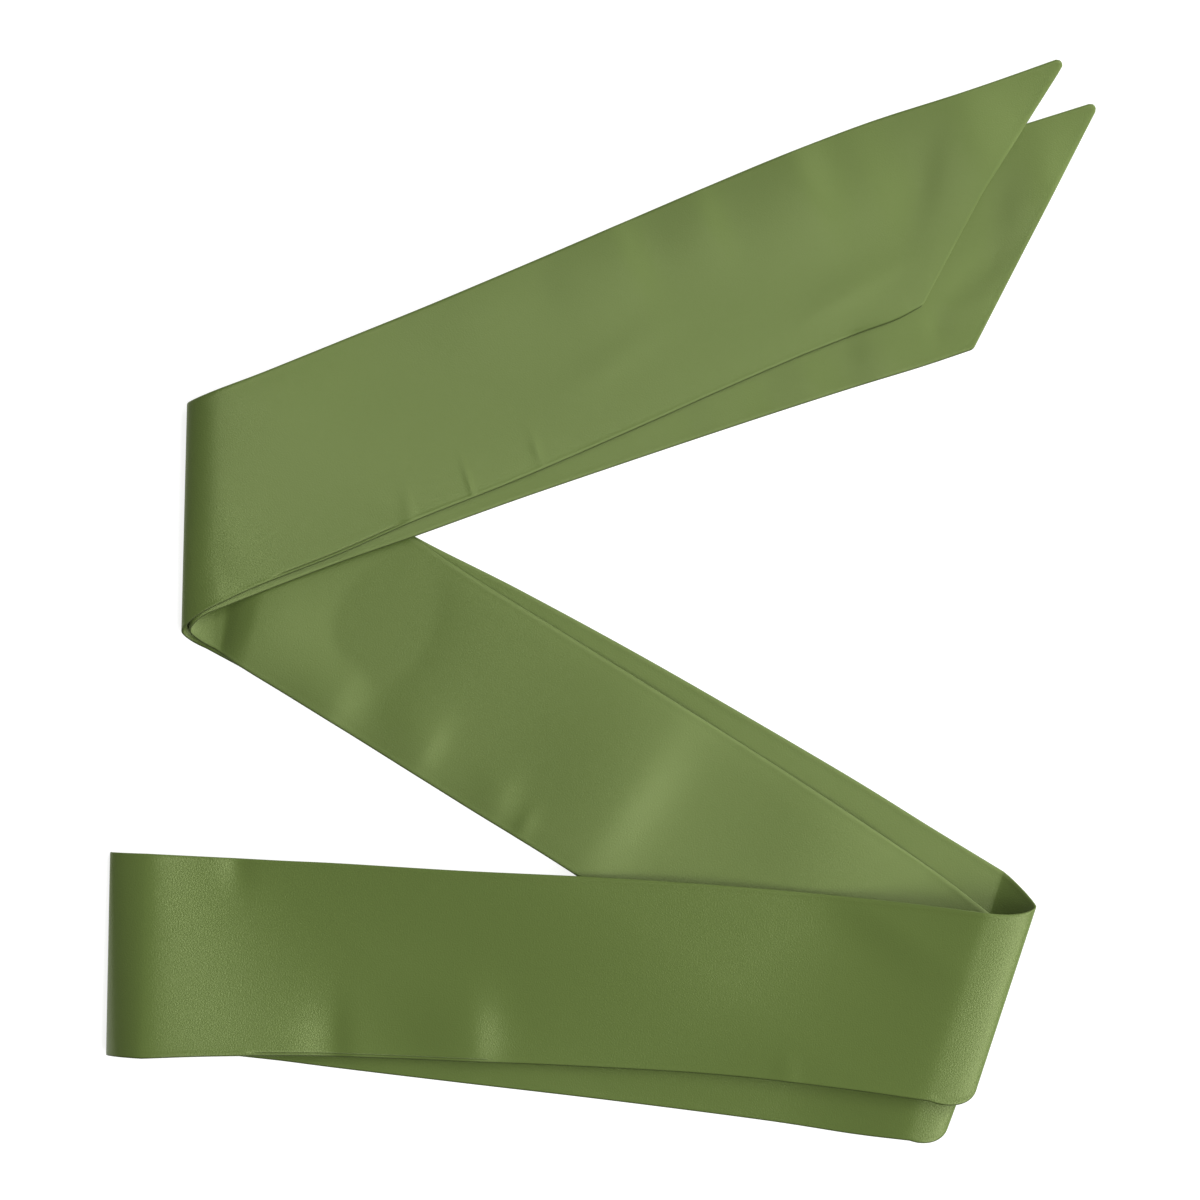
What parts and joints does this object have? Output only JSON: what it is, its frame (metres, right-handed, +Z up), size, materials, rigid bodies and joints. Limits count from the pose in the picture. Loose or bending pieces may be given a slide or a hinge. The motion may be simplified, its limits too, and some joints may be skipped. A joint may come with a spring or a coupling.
{
  "type": "sash",
  "caption": "Long flat satin sash with pointed ends, folded in half and laid on a surface in a zigzag of legs.",
  "frame": {"origin": "centre of the laid-out sash's bounding box, on the surface that it lies on", "axes": "+Z up from the surface; +Y along the longest side of the laid-out shape, away from the viewer; +X towards the pointed ends"},
  "size_m": [0.4956, 0.5407, 0.0144],
  "materials": {
    "satin": "satin weave with a soft sheen"
  },
  "bodies": {
    "root": {"base_outer": "satin", "base_inner": "satin", "middle_outer": "satin", "middle_inner": "satin", "tail_outer": "satin", "tail_inner": "satin", "base_turn": "satin", "right_turn_outer": "satin", "right_turn_inner": "satin", "left_turn_outer": "satin", "left_turn_inner": "satin"}
  },
  "joints": []
}
